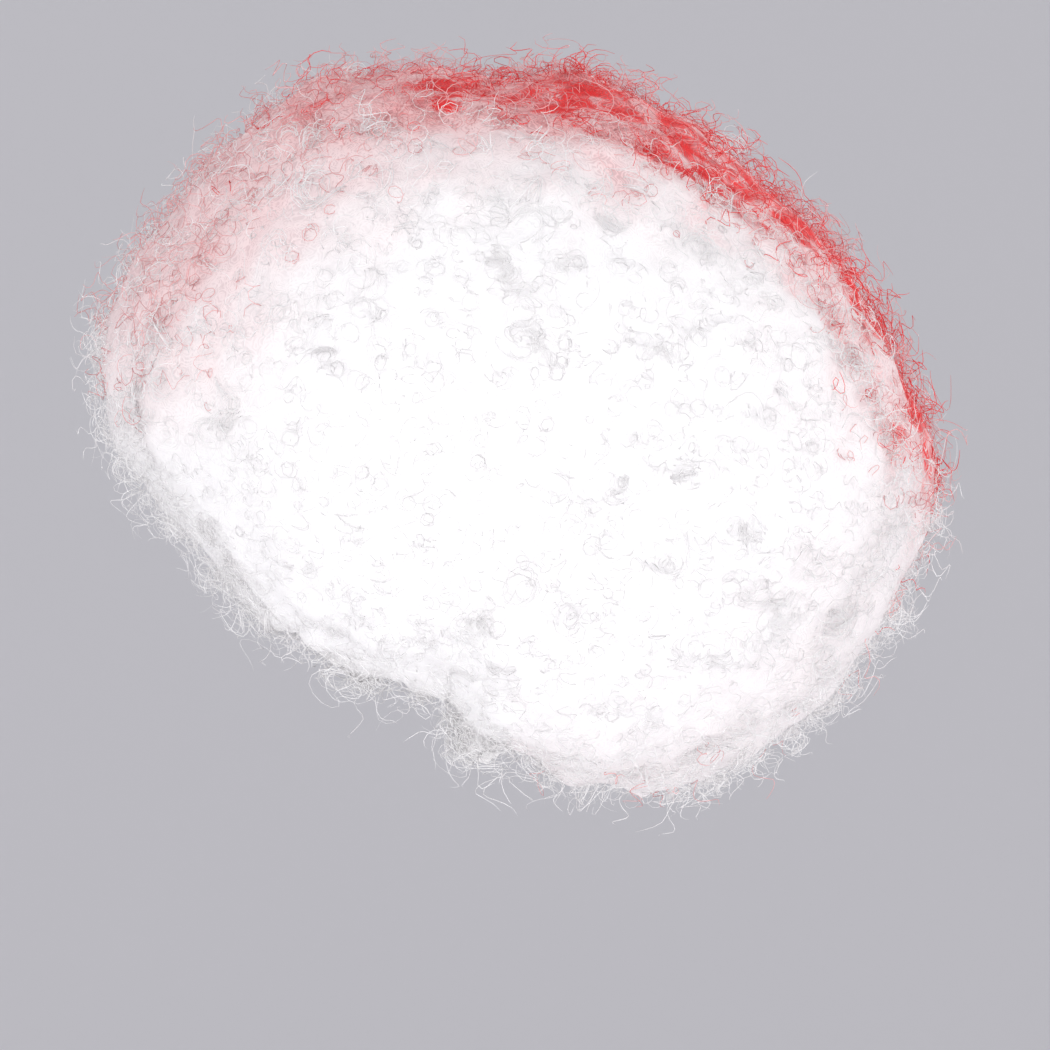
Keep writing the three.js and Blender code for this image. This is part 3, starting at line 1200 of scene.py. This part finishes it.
def kept_on_skin(paths: Array, place: Array, normal: Array, recipe: FibreRecipe) -> Array:
    """Presses fibres into the space between the skin and their greatest height.

    Args:
        paths: the fibres' points.
        place: each fibre's root.
        normal: the skin's direction at each root.
        recipe: how deep and how high they may go.

    Returns:
        The points, moved along the normals only.
    """
    height = ((paths - place[:, None, :]) * normal[:, None, :]).sum(axis=2)
    sunk = np.maximum(recipe.sunk_share * height, -recipe.depth)
    bent = np.where(height < 0.0, sunk, recipe.top * np.tanh(height / recipe.top))
    return paths + (bent - height)[:, :, None] * normal[:, None, :]


# A fibre's tube: its sides, its tip's share of the width, how fast it tapers, and its map's margin.
TUBE_SIDES = 3
TIP_WIDTH = 0.4
TIP_TAPER = 4.0
MAP_MARGIN = 0.02


def tube_arrays(batch: FibreBatch) -> tuple[Array, Array, Array, Array]:
    """Makes closed three-sided tubes along the fibres of a batch.

    Args:
        batch: the fibres.

    Returns:
        Vertex places, corner indices, face sizes and the map of each vertex.
    """
    sides = TUBE_SIDES
    count, points, _ = batch.paths.shape
    ahead = unit(np.gradient(batch.paths, axis=1))
    out = np.cross(ahead[:, 0], np.array([0.31, 0.67, 0.67]))
    frames = np.empty_like(ahead)
    for step in range(points):
        out = unit(out - ahead[:, step] * (out * ahead[:, step]).sum(axis=1, keepdims=True))
        frames[:, step] = out
    over = np.cross(ahead, frames)
    along = np.linspace(0.0, 1.0, points)
    width = batch.thickness[:, None] * np.minimum(1.0, TIP_WIDTH + (1.0 - along) * TIP_TAPER)[None, :]
    turns = 2.0 * math.pi * np.arange(sides) / sides
    spokes = np.cos(turns)[:, None] * frames[:, :, None, :] + np.sin(turns)[:, None] * over[:, :, None, :]
    places = batch.paths[:, :, None, :] + width[:, :, None, None] * spokes
    step, side = np.meshgrid(np.arange(points - 1), np.arange(sides), indexing="ij")
    near, far, after = step * sides, (step + 1) * sides, (side + 1) % sides
    quads = np.stack([near + side, near + after, far + after, far + side], axis=-1)
    last = (points - 1) * sides
    caps = np.array([2, 1, 0, last, last + 1, last + 2])
    one = np.concatenate([quads.reshape(-1), caps])
    corners = ((np.arange(count) * points * sides)[:, None] + one[None, :]).reshape(-1)
    sizes = np.tile(np.concatenate([np.full((points - 1) * sides, 4), np.full(2, 3)]), count)
    heights = np.tile(np.repeat(MAP_MARGIN + (1.0 - 2.0 * MAP_MARGIN) * along, sides), count)
    chart = np.stack([np.repeat(batch.tones, points * sides), heights], axis=1)
    return places.reshape(-1, 3), corners, sizes, chart


def fibre_mesh(name: str, batches: list[FibreBatch]) -> Mesh:
    """Joins the tubes of several batches in one mesh with the fibres' map.

    Args:
        name: the mesh's name.
        batches: the fibres.

    Returns:
        The joined mesh.
    """
    parts = [tube_arrays(batch) for batch in batches]
    shifts = np.cumsum([0] + [len(part[0]) for part in parts[:-1]])
    places, _, sizes, chart = (np.concatenate(each) for each in zip(*parts))
    corners = np.concatenate([part[1] + shift for part, shift in zip(parts, shifts)])
    mesh = bpy.data.meshes.new(name)
    mesh.vertices.add(len(places))
    mesh.vertices.foreach_set("co", places.reshape(-1).astype(np.float32))
    mesh.loops.add(len(corners))
    mesh.loops.foreach_set("vertex_index", corners.astype(np.int32))
    mesh.polygons.add(len(sizes))
    mesh.polygons.foreach_set("loop_start", np.concatenate([[0], np.cumsum(sizes)[:-1]]).astype(np.int32))
    mesh.polygons.foreach_set("use_smooth", np.ones(len(sizes), dtype=bool))
    mesh.update(calc_edges=True)
    layer = mesh.uv_layers.new(name=FIBRE_MAP)
    layer.data.foreach_set("uv", chart[corners].reshape(-1).astype(np.float32))
    mesh.validate()
    return mesh


@dataclass
class FibreLayer:
    """The loose fibres of one part of the hair, as one joined piece."""

    name: str
    slot: Slot
    recipes: tuple[FibreRecipe, ...]
    seed: int

    def build(self, bed: RootBed, finish: Material) -> Object:
        """Grows the fibres on a bed and dresses them.

        Args:
            bed: the skin they stand on.
            finish: the material they wear.

        Returns:
            The finished piece.
        """
        batches = [grow(bed, recipe, self.seed + number) for number, recipe in enumerate(self.recipes)]
        mesh = fibre_mesh(self.name, batches)
        mesh.materials.append(finish)
        piece = bpy.data.objects.new(self.name, mesh)
        bpy.context.scene.collection.objects.link(piece)
        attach(piece, BODY)
        mesh.calc_loop_triangles()
        LOG.info("%s: %d triangles", self.name, len(mesh.loop_triangles))
        return piece


@dataclass
class ClothPiece:
    """A cloth piece that follows its CAD node, smoothed. Angles are in degrees."""

    node: str
    name: str
    slot: Slot
    levels: int = 1
    smoothing: float = 0.3
    face_angle: float = 40.0
    shape_angle: float = 60.0
    crease_angle: float = 50.0

    def build(self, finish: Material) -> Object:
        """Copies the node, rounds it and dresses it.

        Args:
            finish: the material it wears.

        Returns:
            The finished piece.
        """
        piece = copy_of_node(self.node, self.name)
        face, shape = math.radians(self.face_angle), math.radians(self.shape_angle)
        with editing(piece):
            bpy.ops.mesh.tris_convert_to_quads(face_threshold=face, shape_threshold=shape)
        levels = self.levels
        apply_modifier(piece, "SUBSURF", levels=levels, render_levels=levels, subdivision_type="SIMPLE")
        apply_modifier(piece, "SMOOTH", factor=self.smoothing, iterations=1)
        bpy.ops.object.shade_smooth_by_angle(angle=math.radians(self.crease_angle))
        piece.data.materials.append(finish)
        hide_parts(self.node)
        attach(piece, BODY)
        LOG.info("%s: %d faces", piece.name, len(piece.data.polygons))
        return piece


@dataclass
class Hair:
    """Three masses and the fibres that grow on them, in pieces cut at turns along the midline."""

    masses: tuple[HairMass, ...] = (
        HairMass(Panel.LEFT, Slot.WHITE_HAIR),
        HairMass(Panel.CENTRE, Slot.RED_HAIR),
        HairMass(Panel.RIGHT, Slot.WHITE_HAIR),
    )
    side_cuts: tuple[float, ...] = (-180.0, 10.0, 180.0)
    centre_cuts: tuple[float, ...] = (-180.0, -8.0, 75.0, 180.0)
    seeds: tuple[int, ...] = (100, 300, 200)

    def build(self, effects: Effects) -> None:
        """Builds the masses and then the fibres of each panel.

        Args:
            effects: the shared shader groups.
        """
        packed = MassFinish().build(effects)
        loose = FibreFinish().build()
        for mass, seed in zip(self.masses, self.seeds):
            piece = mass.build(packed)
            bed = RootBed.of(piece)
            turn = STRIPE.turn(bed.places)
            centre = mass.panel is Panel.CENTRE
            layers = (LOCKS, RIDGE_FRIZZ if centre else FRIZZ, FLYAWAYS)
            cuts = self.centre_cuts if centre else self.side_cuts
            name = mass.panel.value
            for number, (low, high) in enumerate(zip(cuts[:-1], cuts[1:]), start=1):
                part = bed.part((turn >= low) & (turn < high))
                layer = FibreLayer(f"{name}_fibres_{number}", mass.slot, layers, seed + 10 * number)
                layer.build(part, loose)
            inside = RootBed.of(piece, lining=True)
            FibreLayer(f"{name}_lining", mass.slot, (LINING,), seed).build(inside, loose)


@dataclass
class Studio:
    """Pale sweep, soft light and the camera. Each lamp has a name, a place, a size and a power."""

    floor_drop: float = 3.2
    sweep_radius: float = 5.0
    sweep_height: float = 7.0
    sweep_curve: float = 1.6
    sweep_steps: int = 10
    sweep_sides: int = 96
    paper_roughness: float = 0.95
    paper: Colour = (0.55, 0.545, 0.565, 1.0)
    paper_glow: Colour = (0.55, 0.545, 0.57, 1.0)
    paper_glow_strength: float = 0.31
    air: Colour = (0.95, 0.95, 1.0, 1.0)
    air_strength: float = 0.42
    lamps: tuple[tuple[str, Place, float, float], ...] = (
        ("key", (2.9, -0.3, 0.3), 2.0, 48.5),
        ("fill", (2.2, 2.0, -0.5), 1.6, 29.0),
        ("top", (0.0, 0.0, 2.6), 1.8, 12.0),
        ("far", (-2.9, 0.3, 0.3), 2.0, 46.0),
        ("brow", (0.8, -2.9, 0.1), 1.6, 22.0),
        ("nape", (-0.6, 2.9, 0.1), 1.6, 22.0),
        ("below", (0.6, -0.8, -2.6), 1.8, 21.0),
    )
    frame_width: float = 404.0 * MM
    aim: Place = (0.0, 13.5 * MM, -131.0 * MM)
    azimuth: float = 90.0
    elevation: float = 7.0
    distance: float = 1.9
    far_limit: float = 50.0

    def build(self) -> None:
        """Builds the sweep, the lights and the camera."""
        self.build_sweep()
        self.build_lights()
        self.build_camera()
        settings = bpy.context.scene.view_settings
        settings.view_transform = "Standard"
        settings.look = "None"

    def build_sweep(self) -> None:
        """Builds a round floor that curves up into a wall on all sides."""
        bpy.ops.object.select_all(action="DESELECT")
        low = (0.0, 0.0, -self.floor_drop)
        bpy.ops.mesh.primitive_circle_add(
            vertices=self.sweep_sides, radius=self.sweep_radius, fill_type="NGON", location=low
        )
        floor = bpy.context.object
        floor.name = "floor"
        bpy.ops.object.transform_apply(location=True, rotation=False, scale=False)
        with editing(floor):
            bpy.ops.mesh.region_to_loop()
            radius = self.sweep_radius
            angles = [math.radians(90.0 * step / self.sweep_steps) for step in range(self.sweep_steps + 1)]
            for before, after in zip(angles[:-1], angles[1:]):
                climb = self.sweep_curve * (math.cos(before) - math.cos(after))
                widen = self.sweep_curve * (math.sin(after) - math.sin(before))
                bpy.ops.mesh.extrude_region_move(TRANSFORM_OT_translate={"value": (0.0, 0.0, climb)})
                share = (radius + widen) / radius
                bpy.ops.transform.resize(value=(share, share, 1.0), center_override=(0.0, 0.0, 0.0))
                radius += widen
            wall = (0.0, 0.0, self.sweep_height - self.sweep_curve)
            bpy.ops.mesh.extrude_region_move(TRANSFORM_OT_translate={"value": wall})
        bpy.ops.object.shade_smooth()
        material, tree, shader = new_material("pale paper")
        tree.feed(shader, {"Base Color": self.paper, "Roughness": self.paper_roughness})
        tree.feed(shader, {"Specular IOR Level": 0.0})
        tree.feed(shader, {"Emission Color": self.paper_glow, "Emission Strength": self.paper_glow_strength})
        floor.data.materials.append(material)

    def build_lights(self) -> None:
        """Builds the lamps all round, with the broad key by the camera, and the air's own light."""
        world = bpy.data.worlds.new("studio air")
        world.use_nodes = True
        background = world.node_tree.nodes["Background"]
        NodeTree(world.node_tree).feed(background, {"Color": self.air, "Strength": self.air_strength})
        bpy.context.scene.world = world
        for name, place, size, power in self.lamps:
            lamp = bpy.data.lights.new(name, type="AREA")
            lamp.shape = "DISK"
            lamp.size = size
            lamp.energy = power
            light = bpy.data.objects.new(name, lamp)
            light.location = place
            light.rotation_euler = (Vector(self.aim) - Vector(place)).to_track_quat("-Z", "Y").to_euler()
            bpy.context.scene.collection.objects.link(light)

    def build_camera(self) -> None:
        """Builds the camera at the photograph's angle and framing."""
        turn, tilt = math.radians(self.azimuth), math.radians(self.elevation)
        away = Vector((math.sin(turn) * math.cos(tilt), -math.cos(turn) * math.cos(tilt), math.sin(tilt)))
        lens = bpy.data.cameras.new("camera")
        lens.sensor_fit = "HORIZONTAL"
        lens.angle = 2.0 * math.atan(0.5 * self.frame_width / self.distance)
        lens.clip_end = self.far_limit
        camera = bpy.data.objects.new("camera", lens)
        camera.location = Vector(self.aim) + self.distance * away
        camera.rotation_euler = (-away).to_track_quat("-Z", "Y").to_euler()
        bpy.context.scene.collection.objects.link(camera)
        bpy.context.scene.camera = camera


def main() -> None:
    """Builds the wig and the studio, in order."""
    logging.basicConfig(level=logging.INFO, format="%(name)s %(message)s")
    bpy.ops.object.select_all(action="DESELECT")
    effects = Effects()
    ClothPiece("wig_cap", "cap_net", Slot.CAP_CLOTH).build(NET_CLOTH.build(effects))
    ClothPiece("edge_band", "elastic_band", Slot.ELASTIC).build(ELASTIC.build(effects))
    Hair().build(effects)
    Studio().build()


if __name__ == "__main__":
    main()
